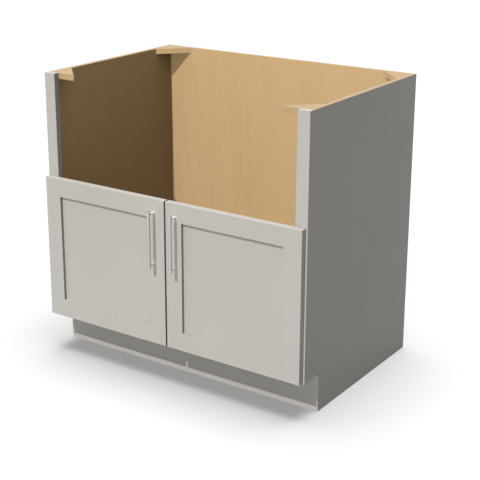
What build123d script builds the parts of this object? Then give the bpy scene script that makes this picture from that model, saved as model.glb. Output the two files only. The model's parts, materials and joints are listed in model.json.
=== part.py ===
from build123d import *
import os

# Sink base cabinet for an apron-front sink, in millimetres.
# +X is the cabinet's right as someone stands in front of it, +Y runs to the wall, +Z is up.
# The origin is on the floor, in the middle of the whole cabinet with its doors and pulls.
# The pieces of the right half are modelled, and the left half is their mirror image.

INCH = 25.4

# Cabinet
CABINET_WIDTH = 36 * INCH
CABINET_HEIGHT = 34.5 * INCH
CABINET_DEPTH = 24 * INCH
TOE_SPACE_HEIGHT = 4.5 * INCH
TOE_SPACE_DEPTH = 3 * INCH

# Boards of the carcass
SIDE_THICKNESS = 5 / 8 * INCH
BACK_THICKNESS = 1 / 2 * INCH
FLOOR_THICKNESS = 5 / 8 * INCH
TOE_BOARD_THICKNESS = 1 / 2 * INCH
TOE_BOARD_HEIGHT = 4.375 * INCH
BACK_RABBET = 8.0
FLOOR_DADO = 6.0
CORNER_BLOCK_LEG = 82.0
CORNER_BLOCK_THICKNESS = 18.0
WORKTOP_SCREW_INSET = 27.0
WORKTOP_SCREW_HOLE_RADIUS = 2.4

# Face frame
FRAME_THICKNESS = 3 / 4 * INCH
FRAME_STILE_WIDTH = 1.5 * INCH
BOTTOM_RAIL_HEIGHT = 1.5 * INCH
APRON_RAIL_HEIGHT = 1.5 * INCH
DOOR_LAP_ON_APRON_RAIL = 12.0
TENON_LENGTH = 1 * INCH
TENON_THICKNESS = 1 / 4 * INCH
TENON_SHOULDER = 5.0
TENON_END_CLEARANCE = 0.5

# Doors
DOOR_HEIGHT = 17.5 * INCH
DOOR_THICKNESS = 3 / 4 * INCH
DOOR_SIDE_REVEAL = 3 / 16 * INCH
DOOR_BOTTOM_REVEAL = 3.2
DOOR_CENTRE_GAP = 5.6
DOOR_BACK_GAP = 1.5
DOOR_RAIL_WIDTH = (2 + 3 / 16) * INCH
DOOR_PANEL_THICKNESS = 1 / 4 * INCH
DOOR_PANEL_RECESS = 3 / 8 * INCH
DOOR_GROOVE_DEPTH = 10.0
DOOR_PANEL_PLAY = 0.8
BUMPER_RADIUS = 5.0
BUMPER_INSET = 16.0
EASED_EDGE = 0.8

# Pulls
PULL_LENGTH = 170.0
PULL_CENTRES = 6 * INCH
PULL_BAR_RADIUS = 5.0
PULL_END_BEVEL = 0.6
PULL_POST_RADIUS = 3.2
PULL_STANDOFF = 26.0
PULL_EDGE_DISTANCE = 35.4
PULL_TOP_DISTANCE = 31.0
PULL_SCREW_RADIUS = 2.0
PULL_SCREW_HEAD_RADIUS = 4.0
PULL_SCREW_HEAD_HEIGHT = 2.4
PULL_SCREW_ENGAGEMENT = 12.0

# Concealed hinges: cup in the door, arm on the inner edge of the face frame, link between them
HINGE_END_DISTANCE = 3 * INCH
CUP_RADIUS = 17.5
CUP_WALL = 1.0
CUP_DEPTH = 12.6
CUP_EDGE_DISTANCE = 24.1
CUP_FLANGE_THICKNESS = 0.9
CUP_FLANGE_LAP = 2.5
CUP_SCREW_SPACING = 45.0
CUP_SCREW_OFFSET = 9.5
CUP_SCREW_RADIUS = 1.7
CUP_SCREW_HEAD_RADIUS = 3.4
CUP_SCREW_LENGTH = 13.0
HINGE_PIN_RADIUS = 1.25
HINGE_EYE_RADIUS = 2.4
HINGE_RUNNING_CLEARANCE = 0.05
LINK_WIDTH = 6.0
LINK_THICKNESS = 2.0
LINK_SIDE_CLEARANCE = 0.3
CHEEK_THICKNESS = 1.4
ARM_NECK_THICKNESS = 3.6
ARM_REACH = 16.0
ARM_PLATE_THICKNESS = 1.6
ARM_PLATE_HEIGHT = 46.0
ARM_PLATE_SETBACK = 2.5
ARM_PLATE_WIDTH = 14.0
ARM_SCREW_SPACING = 32.0
ARM_SCREW_RADIUS = 1.9
ARM_SCREW_HEAD_RADIUS = 3.8
ARM_SCREW_HEAD_HEIGHT = 2.2
ARM_SCREW_LENGTH = 16.0

# Arm pin, measured from the face frame's front inner corner
ARM_PIN_X = 0.9
ARM_PIN_FORWARD = 6.5
# Cup pin, measured from the cup's centre line and the door's back
CUP_PIN_X = 10.65
CUP_PIN_DEPTH = 4.25

# Bends of the link: one beside the arm pin, and two at the ends of its dip into the cup
LINK_ARM_BEND_X = 3.0
LINK_ARM_BEND_DEPTH = 0.7
LINK_DIP_START_X = 7.8
LINK_DIP_END_X = 2.8
LINK_DIP_DEPTH = 5.1

# Small clearance of a fastener in its hole, and the flat sides that stand for a round
HOLE_CLEARANCE = 0.1
HARDWARE_SIDES = 16
CUP_SIDES = 24

# Places that follow from the sizes above
PULL_REACH = DOOR_BACK_GAP + DOOR_THICKNESS + PULL_STANDOFF + PULL_BAR_RADIUS
FRONT = PULL_REACH - (CABINET_DEPTH + PULL_REACH) / 2
BACK = FRONT + CABINET_DEPTH
FRAME_BACK = FRONT + FRAME_THICKNESS
BACK_PANEL_FRONT = BACK - BACK_THICKNESS
OUTSIDE_X = CABINET_WIDTH / 2
SIDE_INSIDE_X = OUTSIDE_X - SIDE_THICKNESS
STILE_INSIDE_X = OUTSIDE_X - FRAME_STILE_WIDTH
TOE_BOARD_FRONT = FRONT + TOE_SPACE_DEPTH
TOE_BOARD_BACK = TOE_BOARD_FRONT + TOE_BOARD_THICKNESS
FLOOR_TOP = TOE_SPACE_HEIGHT + BOTTOM_RAIL_HEIGHT

DOOR_BACK = FRONT - DOOR_BACK_GAP
DOOR_FACE = DOOR_BACK - DOOR_THICKNESS
DOOR_OUTER_X = OUTSIDE_X - DOOR_SIDE_REVEAL
DOOR_INNER_X = DOOR_CENTRE_GAP / 2
DOOR_BOTTOM = TOE_SPACE_HEIGHT + DOOR_BOTTOM_REVEAL
DOOR_TOP = DOOR_BOTTOM + DOOR_HEIGHT
PANEL_FACE = DOOR_FACE + DOOR_PANEL_RECESS
PANEL_BACK = PANEL_FACE + DOOR_PANEL_THICKNESS
LOCK_STILE_EDGE_X = DOOR_INNER_X + DOOR_RAIL_WIDTH
HINGE_STILE_EDGE_X = DOOR_OUTER_X - DOOR_RAIL_WIDTH
LOWER_RAIL_EDGE_Z = DOOR_BOTTOM + DOOR_RAIL_WIDTH
UPPER_RAIL_EDGE_Z = DOOR_TOP - DOOR_RAIL_WIDTH
APRON_RAIL_TOP = DOOR_TOP - DOOR_LAP_ON_APRON_RAIL
APRON_RAIL_BOTTOM = APRON_RAIL_TOP - APRON_RAIL_HEIGHT
APRON_RAIL_MIDDLE = (APRON_RAIL_TOP + APRON_RAIL_BOTTOM) / 2
BOTTOM_RAIL_MIDDLE = TOE_SPACE_HEIGHT + BOTTOM_RAIL_HEIGHT / 2

PULL_X = DOOR_INNER_X + PULL_EDGE_DISTANCE
PULL_AXIS_Y = DOOR_FACE - PULL_STANDOFF
PULL_MIDDLE_Z = DOOR_TOP - PULL_TOP_DISTANCE - PULL_LENGTH / 2
PULL_POST_HEIGHTS = [PULL_MIDDLE_Z - PULL_CENTRES / 2, PULL_MIDDLE_Z + PULL_CENTRES / 2]

HINGE_HEIGHTS = [DOOR_BOTTOM + HINGE_END_DISTANCE, DOOR_TOP - HINGE_END_DISTANCE]
CUP_X = DOOR_OUTER_X - CUP_EDGE_DISTANCE
CUP_SCREW_X = CUP_X - CUP_SCREW_OFFSET
ARM_PIN = (STILE_INSIDE_X + ARM_PIN_X, FRONT - ARM_PIN_FORWARD)
CUP_PIN = (CUP_X + CUP_PIN_X, DOOR_BACK - CUP_PIN_DEPTH)
CHEEK_INSIDE = LINK_WIDTH / 2 + LINK_SIDE_CLEARANCE
CHEEK_OUTSIDE = CHEEK_INSIDE + CHEEK_THICKNESS
ARM_PLATE_X = STILE_INSIDE_X - ARM_PLATE_THICKNESS
ARM_SCREW_Y = FRONT + ARM_PLATE_SETBACK + ARM_PLATE_WIDTH / 2


def block(x, y, z):
    """Box between two X, two Y and two Z planes."""
    size = Box(x[1] - x[0], y[1] - y[0], z[1] - z[0])
    return Pos((x[0] + x[1]) / 2, (y[0] + y[1]) / 2, (z[0] + z[1]) / 2) * size


def small_round(radius):
    """Section of a pin or screw: a round with a few flats, whose corners lie on the radius."""
    return RegularPolygon(radius, HARDWARE_SIDES)


def small_hole(radius):
    """Section of the hole for a pin or screw: its flats lie on the radius, so a round pin turns in it."""
    return RegularPolygon(radius, HARDWARE_SIDES, major_radius=False)


def upright(x, y, z, section):
    """Section carried along Z between two heights."""
    return Pos(x, y, z[0]) * extrude(section, z[1] - z[0])


def crosswise(x, y, z, section):
    """Section carried along X between two X planes."""
    return Pos(x[0], y, z) * extrude(Plane.YZ * section, x[1] - x[0])


def lengthwise(x, y, z, section):
    """Section carried along Y between two Y planes."""
    return Pos(x, y[1], z) * extrude(Plane.XZ * section, y[1] - y[0])


def left(shape):
    """The same piece on the cabinet's left."""
    return mirror(shape, about=Plane.YZ)


def joined(shapes):
    """Separate solids kept as one group."""
    return Compound(children=[solid for shape in shapes for solid in shape.solids()])


def bridge(start, start_radius, end, end_radius):
    """Face round two rounds and everything between them."""
    first = Pos(*start) * small_round(start_radius)
    last = Pos(*end) * small_round(end_radius)
    return make_hull(first.edges() + last.edges())


def strip(points, width):
    """Flat strip of even width with rounded ends and corners, along a line of points."""
    face = Sketch()
    for start, end in zip(points[:-1], points[1:]):
        face += bridge(start, width / 2, end, width / 2)
    return face


# Carcass


def side_panel():
    """Side with a toe notch, a rabbet for the back and a dado for the floor."""
    outline = Polyline(
        (TOE_BOARD_BACK, 0),
        (BACK, 0),
        (BACK, CABINET_HEIGHT),
        (FRAME_BACK, CABINET_HEIGHT),
        (FRAME_BACK, TOE_SPACE_HEIGHT),
        (TOE_BOARD_BACK, TOE_SPACE_HEIGHT),
        close=True,
    )
    panel = Pos(SIDE_INSIDE_X, 0, 0) * extrude(Plane.YZ * make_face(outline), SIDE_THICKNESS)
    panel -= block(
        (SIDE_INSIDE_X, SIDE_INSIDE_X + BACK_RABBET),
        (BACK_PANEL_FRONT, BACK),
        (0, CABINET_HEIGHT),
    )
    panel -= block(
        (SIDE_INSIDE_X, SIDE_INSIDE_X + FLOOR_DADO),
        (FRAME_BACK, BACK_PANEL_FRONT),
        (FLOOR_TOP - FLOOR_THICKNESS, FLOOR_TOP),
    )
    return panel


def back_panel():
    """Full-height back, let into the rabbets of both sides."""
    half_width = SIDE_INSIDE_X + BACK_RABBET
    return block((-half_width, half_width), (BACK_PANEL_FRONT, BACK), (0, CABINET_HEIGHT))


def floor_panel():
    """Cabinet floor, let into the dadoes of both sides and flush with the bottom rail."""
    half_width = SIDE_INSIDE_X + FLOOR_DADO
    return block(
        (-half_width, half_width),
        (FRAME_BACK, BACK_PANEL_FRONT),
        (FLOOR_TOP - FLOOR_THICKNESS, FLOOR_TOP),
    )


def toe_board():
    """Board across the front edges of both sides, below the toe notch."""
    board = block((-OUTSIDE_X, OUTSIDE_X), (TOE_BOARD_FRONT, TOE_BOARD_BACK), (0, TOE_BOARD_HEIGHT))
    return chamfer(board.edges().filter_by(Axis.X).group_by(Axis.Y)[0].sort_by(Axis.Z)[-1], EASED_EDGE)


def corner_block(y_corner, y_direction):
    """Three-cornered brace flush with the top, with a hole for the screw up into the worktop."""
    outline = Polyline(
        (SIDE_INSIDE_X, y_corner),
        (SIDE_INSIDE_X - CORNER_BLOCK_LEG, y_corner),
        (SIDE_INSIDE_X, y_corner + y_direction * CORNER_BLOCK_LEG),
        close=True,
    )
    bottom = CABINET_HEIGHT - CORNER_BLOCK_THICKNESS
    brace = Pos(0, 0, bottom) * extrude(make_face(outline), CORNER_BLOCK_THICKNESS, dir=(0, 0, 1))
    hole_x = SIDE_INSIDE_X - WORKTOP_SCREW_INSET
    hole_y = y_corner + y_direction * WORKTOP_SCREW_INSET
    hole = upright(hole_x, hole_y, (bottom, CABINET_HEIGHT), Circle(WORKTOP_SCREW_HOLE_RADIUS))
    return brace - hole


# Face frame


def tenons(bottom, top, clearance):
    """Tenons at both ends of a rail, or with a clearance at their ends the mortises for them."""
    middle = (FRONT + FRAME_BACK) / 2
    reach = STILE_INSIDE_X + TENON_LENGTH + clearance
    return block(
        (-reach, reach),
        (middle - TENON_THICKNESS / 2, middle + TENON_THICKNESS / 2),
        (bottom + TENON_SHOULDER, top - TENON_SHOULDER),
    )


def frame_stile():
    """Upright of the face frame, with its mortises and the pilot holes of the hinge arms."""
    stile = block(
        (STILE_INSIDE_X, OUTSIDE_X),
        (FRONT, FRAME_BACK),
        (TOE_SPACE_HEIGHT, CABINET_HEIGHT),
    )
    front_edges = stile.edges().filter_by(Axis.Z).group_by(Axis.Y)[0]
    stile = fillet(front_edges, EASED_EDGE)
    stile -= tenons(TOE_SPACE_HEIGHT, FLOOR_TOP, TENON_END_CLEARANCE)
    stile -= tenons(APRON_RAIL_BOTTOM, APRON_RAIL_TOP, TENON_END_CLEARANCE)
    for z in HINGE_HEIGHTS:
        for hole in arm_screw_shanks(z, HOLE_CLEARANCE):
            stile -= hole
    return stile


def frame_rail(bottom, top):
    """Rail between the two stiles of the face frame, with a tenon at each end."""
    rail = block((-STILE_INSIDE_X, STILE_INSIDE_X), (FRONT, FRAME_BACK), (bottom, top))
    return rail + tenons(bottom, top, 0)


# Hinges


def pin_hole(place):
    """Hole through both cheeks or lugs of a hinge that is modelled about height 0."""
    section = small_round(HINGE_PIN_RADIUS + HINGE_RUNNING_CLEARANCE / 2)
    return upright(*place, (-CHEEK_OUTSIDE, CHEEK_OUTSIDE), section)


def arm_screw_shanks(z, clearance):
    """Shanks of the two screws that hold one hinge arm to the face frame."""
    span = (ARM_PLATE_X, STILE_INSIDE_X + ARM_SCREW_LENGTH + clearance)
    heights = [z - ARM_SCREW_SPACING / 2, z + ARM_SCREW_SPACING / 2]
    section = small_round(ARM_SCREW_RADIUS + clearance)
    return [crosswise(span, ARM_SCREW_Y, height, section) for height in heights]


def arm_screws(z):
    """Two round-headed screws through the plate of one hinge arm."""
    head_span = (ARM_PLATE_X - ARM_SCREW_HEAD_HEIGHT, ARM_PLATE_X)
    screws = []
    for side, shank in zip((-1, 1), arm_screw_shanks(z, 0)):
        height = z + side * ARM_SCREW_SPACING / 2
        head = crosswise(head_span, ARM_SCREW_Y, height, small_round(ARM_SCREW_HEAD_RADIUS))
        rim = head.edges().group_by(Axis.X)[0]
        screws.append(chamfer(rim, ARM_SCREW_HEAD_HEIGHT / 3) + shank)
    return screws


def hinge_arm(z):
    """Plate on the frame's inner edge, a neck past the door's back and two cheeks round the link."""
    neck_front = FRONT - ARM_PIN_FORWARD / 2
    neck_x = (ARM_PLATE_X - ARM_NECK_THICKNESS, ARM_PLATE_X)
    neck_middle = ARM_PLATE_X - ARM_NECK_THICKNESS / 2
    neck_end = (neck_middle, neck_front)
    profile = bridge(neck_end, ARM_NECK_THICKNESS / 2, ARM_PIN, HINGE_EYE_RADIUS)
    bar = Rectangle(ARM_NECK_THICKNESS, FRONT + ARM_REACH - neck_front, align=(Align.CENTER, Align.MIN))
    profile += Pos(*neck_end) * bar
    cheek = Pos(0, 0, CHEEK_INSIDE) * extrude(profile, CHEEK_THICKNESS, dir=(0, 0, 1))
    arm = cheek + mirror(cheek, about=Plane.XY)
    arm += block(
        neck_x,
        (FRONT + ARM_PLATE_SETBACK, FRONT + ARM_REACH),
        (-CHEEK_OUTSIDE, CHEEK_OUTSIDE),
    )
    plate = block(
        (ARM_PLATE_X, STILE_INSIDE_X),
        (FRONT + ARM_PLATE_SETBACK, FRONT + ARM_PLATE_SETBACK + ARM_PLATE_WIDTH),
        (-ARM_PLATE_HEIGHT / 2, ARM_PLATE_HEIGHT / 2),
    )
    arm += chamfer(plate.edges().filter_by(Axis.X), ARM_PLATE_WIDTH / 5)
    arm -= pin_hole(ARM_PIN)
    arm = Pos(0, 0, z) * arm
    for hole in arm_screw_shanks(z, HOLE_CLEARANCE):
        arm -= hole
    return arm


def hinge_link(z):
    """Cranked link: it dips into the cup so that it clears the cup's rim when the door is open."""
    dip_y = CUP_PIN[1] - LINK_DIP_DEPTH
    crank = [
        ARM_PIN,
        (ARM_PIN[0] + LINK_ARM_BEND_X, ARM_PIN[1] - LINK_ARM_BEND_DEPTH),
        (CUP_PIN[0] - LINK_DIP_START_X, dip_y),
        (CUP_PIN[0] - LINK_DIP_END_X, dip_y),
        CUP_PIN,
    ]
    profile = strip(crank, LINK_THICKNESS)
    for pin in (ARM_PIN, CUP_PIN):
        profile += Pos(*pin) * small_round(HINGE_EYE_RADIUS)
    for pin in (ARM_PIN, CUP_PIN):
        profile -= Pos(*pin) * small_hole(HINGE_PIN_RADIUS + HINGE_RUNNING_CLEARANCE)
    return Pos(0, 0, z - LINK_WIDTH / 2) * extrude(profile, LINK_WIDTH, dir=(0, 0, 1))


def cup_screw(z, clearance):
    """Flat-headed screw through the cup's flange, flush with it."""
    surface = DOOR_BACK + CUP_FLANGE_THICKNESS
    tip = surface - CUP_SCREW_LENGTH - clearance
    head_section = small_round(CUP_SCREW_HEAD_RADIUS + clearance)
    shank_section = small_round(CUP_SCREW_RADIUS + clearance)
    head = lengthwise(CUP_SCREW_X, (DOOR_BACK, surface), z, head_section)
    return head + lengthwise(CUP_SCREW_X, (tip, DOOR_BACK), z, shank_section)


def cup_screws(z, clearance):
    """Both screws of one cup."""
    return [cup_screw(z + side * CUP_SCREW_SPACING / 2, clearance) for side in (-1, 1)]


def cup_round(radius):
    """Section of the hinge cup or of its bore."""
    return RegularPolygon(radius, CUP_SIDES)


def hinge_cup(z):
    """Round cup with a flange for its screws and two lugs that hold its pin."""
    floor_y = DOOR_BACK - CUP_DEPTH
    surface = DOOR_BACK + CUP_FLANGE_THICKNESS
    cup = lengthwise(CUP_X, (floor_y, DOOR_BACK), 0, cup_round(CUP_RADIUS))
    wing_radius = CUP_SCREW_HEAD_RADIUS + CUP_FLANGE_LAP
    wing_ends = [(CUP_SCREW_X, side * CUP_SCREW_SPACING / 2) for side in (-1, 1)]
    wing = bridge(wing_ends[0], wing_radius, wing_ends[1], wing_radius)
    rim = Pos(CUP_X, 0) * cup_round(CUP_RADIUS + CUP_FLANGE_LAP)
    flange = extrude(Plane.XZ * (rim + wing), CUP_FLANGE_THICKNESS)
    cup += Pos(0, surface, 0) * flange
    cup -= lengthwise(CUP_X, (floor_y + CUP_WALL, surface), 0, cup_round(CUP_RADIUS - CUP_WALL))
    lug_foot = (CUP_PIN[0], floor_y + CUP_WALL)
    lug_profile = bridge(CUP_PIN, HINGE_EYE_RADIUS, lug_foot, HINGE_EYE_RADIUS)
    lug = Pos(0, 0, CHEEK_INSIDE) * extrude(lug_profile, CHEEK_THICKNESS, dir=(0, 0, 1))
    lug &= lengthwise(CUP_X, (floor_y, surface), 0, cup_round(CUP_RADIUS))
    cup += lug + mirror(lug, about=Plane.XY)
    cup -= pin_hole(CUP_PIN)
    cup = Pos(0, 0, z) * cup
    for screw in cup_screws(z, HOLE_CLEARANCE):
        cup -= screw
    return cup


def hinge_pin(place, z):
    """Pin held in two cheeks or lugs, on which the link turns."""
    return upright(*place, (z - CHEEK_OUTSIDE, z + CHEEK_OUTSIDE), small_round(HINGE_PIN_RADIUS))


# Right door


def hinge_stile():
    """Outer upright of the door, grooved for the panel and bored for the hinge cups."""
    stile = block((HINGE_STILE_EDGE_X, DOOR_OUTER_X), (DOOR_FACE, DOOR_BACK), (DOOR_BOTTOM, DOOR_TOP))
    front = stile.edges().group_by(Axis.Y)[0]
    stile = fillet(front - front.filter_by(Axis.Z).sort_by(Axis.X)[:1], EASED_EDGE)
    stile -= block(
        (HINGE_STILE_EDGE_X, HINGE_STILE_EDGE_X + DOOR_GROOVE_DEPTH),
        (PANEL_FACE, PANEL_BACK),
        (DOOR_BOTTOM, DOOR_TOP),
    )
    for z in HINGE_HEIGHTS:
        stile -= lengthwise(CUP_X, (DOOR_BACK - CUP_DEPTH, DOOR_BACK), z, cup_round(CUP_RADIUS))
        for screw in cup_screws(z, HOLE_CLEARANCE):
            stile -= screw
    return stile


def lock_stile():
    """Inner upright of the door, grooved for the panel and bored for the pull's screws."""
    stile = block((DOOR_INNER_X, LOCK_STILE_EDGE_X), (DOOR_FACE, DOOR_BACK), (DOOR_BOTTOM, DOOR_TOP))
    front = stile.edges().group_by(Axis.Y)[0]
    stile = fillet(front - front.filter_by(Axis.Z).sort_by(Axis.X)[-1:], EASED_EDGE)
    stile -= block(
        (LOCK_STILE_EDGE_X - DOOR_GROOVE_DEPTH, LOCK_STILE_EDGE_X),
        (PANEL_FACE, PANEL_BACK),
        (DOOR_BOTTOM, DOOR_TOP),
    )
    for z in PULL_POST_HEIGHTS:
        stile -= pull_screw(z, HOLE_CLEARANCE)
    return stile


def door_rail(outer, inner):
    """Rail between the stiles, with a tongue at each end; outer and inner are its two edges in Z."""
    low, high = sorted((outer, inner))
    inward = 1 if inner > outer else -1
    groove_bottom = inner - inward * DOOR_GROOVE_DEPTH
    rail = block((LOCK_STILE_EDGE_X, HINGE_STILE_EDGE_X), (DOOR_FACE, DOOR_BACK), (low, high))
    front = rail.edges().filter_by(Axis.X).group_by(Axis.Y)[0].sort_by(Axis.Z)
    rail = fillet(front[0] if inward > 0 else front[-1], EASED_EDGE)
    rail -= block(
        (LOCK_STILE_EDGE_X, HINGE_STILE_EDGE_X),
        (PANEL_FACE, PANEL_BACK),
        tuple(sorted((groove_bottom, inner))),
    )
    rail += block(
        (LOCK_STILE_EDGE_X - DOOR_GROOVE_DEPTH, HINGE_STILE_EDGE_X + DOOR_GROOVE_DEPTH),
        (PANEL_FACE, PANEL_BACK),
        tuple(sorted((outer, groove_bottom))),
    )
    return rail


def door_panel():
    """Flat panel that floats in the grooves of the stiles and rails."""
    reach = DOOR_GROOVE_DEPTH - DOOR_PANEL_PLAY
    return block(
        (LOCK_STILE_EDGE_X - reach, HINGE_STILE_EDGE_X + reach),
        (PANEL_FACE, PANEL_BACK),
        (LOWER_RAIL_EDGE_Z - reach, UPPER_RAIL_EDGE_Z + reach),
    )


def pull_bar():
    """Round bar of the pull, with eased ends."""
    ends = (PULL_MIDDLE_Z - PULL_LENGTH / 2, PULL_MIDDLE_Z + PULL_LENGTH / 2)
    bar = upright(PULL_X, PULL_AXIS_Y, ends, Circle(PULL_BAR_RADIUS))
    return chamfer(bar.edges().filter_by(GeomType.CIRCLE), PULL_END_BEVEL)


def pull_screw(z, clearance):
    """Machine screw from inside the door into a post, its head sunk below the door's back."""
    thread_end = DOOR_FACE - PULL_SCREW_ENGAGEMENT - clearance
    head_seat = DOOR_BACK - PULL_SCREW_HEAD_HEIGHT - clearance
    shank_section = small_round(PULL_SCREW_RADIUS + clearance)
    head_section = small_round(PULL_SCREW_HEAD_RADIUS + clearance)
    shank = lengthwise(PULL_X, (thread_end, DOOR_BACK), z, shank_section)
    return shank + lengthwise(PULL_X, (head_seat, DOOR_BACK), z, head_section)


def pull_post(z):
    """Post between the door's face and the bar, coped to the bar."""
    post = lengthwise(PULL_X, (PULL_AXIS_Y, DOOR_FACE), z, Circle(PULL_POST_RADIUS))
    post -= upright(PULL_X, PULL_AXIS_Y, (z - PULL_LENGTH, z + PULL_LENGTH), Circle(PULL_BAR_RADIUS))
    return post - pull_screw(z, HOLE_CLEARANCE)


def bumpers():
    """Two soft pads on the door's back that meet the face frame's rails."""
    x = DOOR_INNER_X + BUMPER_INSET
    heights = [BOTTOM_RAIL_MIDDLE, APRON_RAIL_MIDDLE]
    return [lengthwise(x, (DOOR_BACK, FRONT), z, small_round(BUMPER_RADIUS)) for z in heights]


def door_pieces():
    """All pieces that swing with the right door."""
    pins = [hinge_pin(CUP_PIN, z) for z in HINGE_HEIGHTS]
    return {
        "door_hinge_stile": hinge_stile(),
        "door_lock_stile": lock_stile(),
        "door_top_rail": door_rail(DOOR_TOP, UPPER_RAIL_EDGE_Z),
        "door_bottom_rail": door_rail(DOOR_BOTTOM, LOWER_RAIL_EDGE_Z),
        "door_panel": door_panel(),
        "door_bumpers": joined(bumpers()),
        "hinge_cups": joined([hinge_cup(z) for z in HINGE_HEIGHTS]),
        "hinge_cup_pins": joined(pins),
        "hinge_cup_screws": joined([screw for z in HINGE_HEIGHTS for screw in cup_screws(z, 0)]),
        "pull_bar": pull_bar(),
        "pull_posts": joined([pull_post(z) for z in PULL_POST_HEIGHTS]),
        "pull_screws": joined([pull_screw(z, 0) for z in PULL_POST_HEIGHTS]),
    }


def paired_pieces():
    """All pieces that the cabinet has once on its right and once, mirrored, on its left."""
    return door_pieces() | {
        "side_panel": side_panel(),
        "frame_stile": frame_stile(),
        "corner_block_front": corner_block(FRAME_BACK, 1),
        "corner_block_back": corner_block(BACK_PANEL_FRONT, -1),
        "hinge_arms": joined([hinge_arm(z) for z in HINGE_HEIGHTS]),
        "hinge_arm_pins": joined([hinge_pin(ARM_PIN, z) for z in HINGE_HEIGHTS]),
        "hinge_arm_screws": joined([screw for z in HINGE_HEIGHTS for screw in arm_screws(z)]),
        "hinge_links": joined([hinge_link(z) for z in HINGE_HEIGHTS]),
    }


def single_pieces():
    """Pieces that the cabinet has once."""
    return {
        "back_panel": back_panel(),
        "floor_panel": floor_panel(),
        "toe_kick_board": toe_board(),
        "frame_bottom_rail": frame_rail(TOE_SPACE_HEIGHT, FLOOR_TOP),
        "frame_apron_rail": frame_rail(APRON_RAIL_BOTTOM, APRON_RAIL_TOP),
    }


os.makedirs("parts", exist_ok=True)
for name, piece in single_pieces().items():
    export_step(piece, f"parts/{name}.step")
for name, piece in paired_pieces().items():
    export_step(piece, f"parts/{name}_right.step")
    export_step(left(piece), f"parts/{name}_left.step")
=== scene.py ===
import json
import math

import bpy
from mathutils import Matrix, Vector


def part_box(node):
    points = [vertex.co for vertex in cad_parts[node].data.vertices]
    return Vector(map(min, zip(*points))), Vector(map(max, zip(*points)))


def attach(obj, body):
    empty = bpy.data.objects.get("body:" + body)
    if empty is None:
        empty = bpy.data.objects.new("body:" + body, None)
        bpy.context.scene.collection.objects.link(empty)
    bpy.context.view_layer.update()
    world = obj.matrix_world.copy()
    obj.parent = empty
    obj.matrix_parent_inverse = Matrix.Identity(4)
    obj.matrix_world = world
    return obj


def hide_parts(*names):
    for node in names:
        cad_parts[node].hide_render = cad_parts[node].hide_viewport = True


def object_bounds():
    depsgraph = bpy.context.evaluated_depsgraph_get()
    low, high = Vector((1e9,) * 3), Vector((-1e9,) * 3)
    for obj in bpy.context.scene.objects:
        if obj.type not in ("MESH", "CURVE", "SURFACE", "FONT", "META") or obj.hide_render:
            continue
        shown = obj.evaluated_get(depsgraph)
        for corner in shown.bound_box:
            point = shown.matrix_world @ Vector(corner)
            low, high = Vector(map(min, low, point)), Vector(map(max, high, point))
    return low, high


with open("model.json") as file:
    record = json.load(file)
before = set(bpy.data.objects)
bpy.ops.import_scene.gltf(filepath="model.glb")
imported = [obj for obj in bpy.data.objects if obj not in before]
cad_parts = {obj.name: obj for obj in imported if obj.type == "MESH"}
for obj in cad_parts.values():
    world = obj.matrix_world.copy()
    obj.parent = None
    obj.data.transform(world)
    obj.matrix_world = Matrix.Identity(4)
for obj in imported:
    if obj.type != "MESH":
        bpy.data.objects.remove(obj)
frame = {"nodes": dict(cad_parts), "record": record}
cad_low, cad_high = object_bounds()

# Sink base cabinet: its boards, doors, hinges and pulls, dressed round the fixed frame.
# Everything is in metres. +X is the cabinet's right, +Y is the wall, +Z is up.

MM = 0.001

# Colours, in linear light
PAINT = (0.520, 0.499, 0.455, 1)
PAINT_SHADE = (0.498, 0.478, 0.436, 1)
# Paler arris colour: partly worn paint, partly a painted highlight along the edges
PAINT_EDGE_WEAR_AND_HIGHLIGHT = (0.570, 0.551, 0.510, 1)
# Darker paint colour that only diffuse bounce rays see: painted shade in recesses and gaps
PAINT_BOUNCE_PAINTED_SHADE = (0.180, 0.170, 0.155, 1)
MAPLE_LIGHT = (0.660, 0.448, 0.224, 1)
MAPLE_DARK = (0.545, 0.345, 0.160, 1)
# Darker maple colour that only diffuse bounce rays see: painted shade on the cabinet's inside
MAPLE_BOUNCE_PAINTED_SHADE = (0.045, 0.036, 0.024, 1)
# Corner block maple toned for the light on each face: tops and the front blocks' upright faces darkened
# (painted shade), the back blocks' upright faces paled (painted light)
BLOCK_TOP_SHADED_LIGHT = (0.460, 0.315, 0.148, 1)
BLOCK_TOP_SHADED_DARK = (0.405, 0.264, 0.120, 1)
FRONT_BLOCK_SIDE_SHADED_LIGHT = (0.525, 0.367, 0.190, 1)
FRONT_BLOCK_SIDE_SHADED_DARK = (0.463, 0.310, 0.153, 1)
BACK_BLOCK_SIDE_LIT_LIGHT = (0.730, 0.510, 0.265, 1)
BACK_BLOCK_SIDE_LIT_DARK = (0.640, 0.430, 0.212, 1)
# Maple of the top edge bands, darkened to offset the strong light on top faces: painted shade
BAND_SHADED_LIGHT = (0.455, 0.328, 0.180, 1)
BAND_SHADED_DARK = (0.410, 0.282, 0.148, 1)
RAW_PLY_LIGHT = (0.640, 0.480, 0.300, 1)
RAW_PLY_DARK = (0.330, 0.210, 0.110, 1)
RAW_BACK_LIGHT = (0.600, 0.450, 0.270, 1)
RAW_BACK_DARK = (0.440, 0.300, 0.160, 1)
NICKEL = (0.480, 0.470, 0.450, 1)
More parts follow.
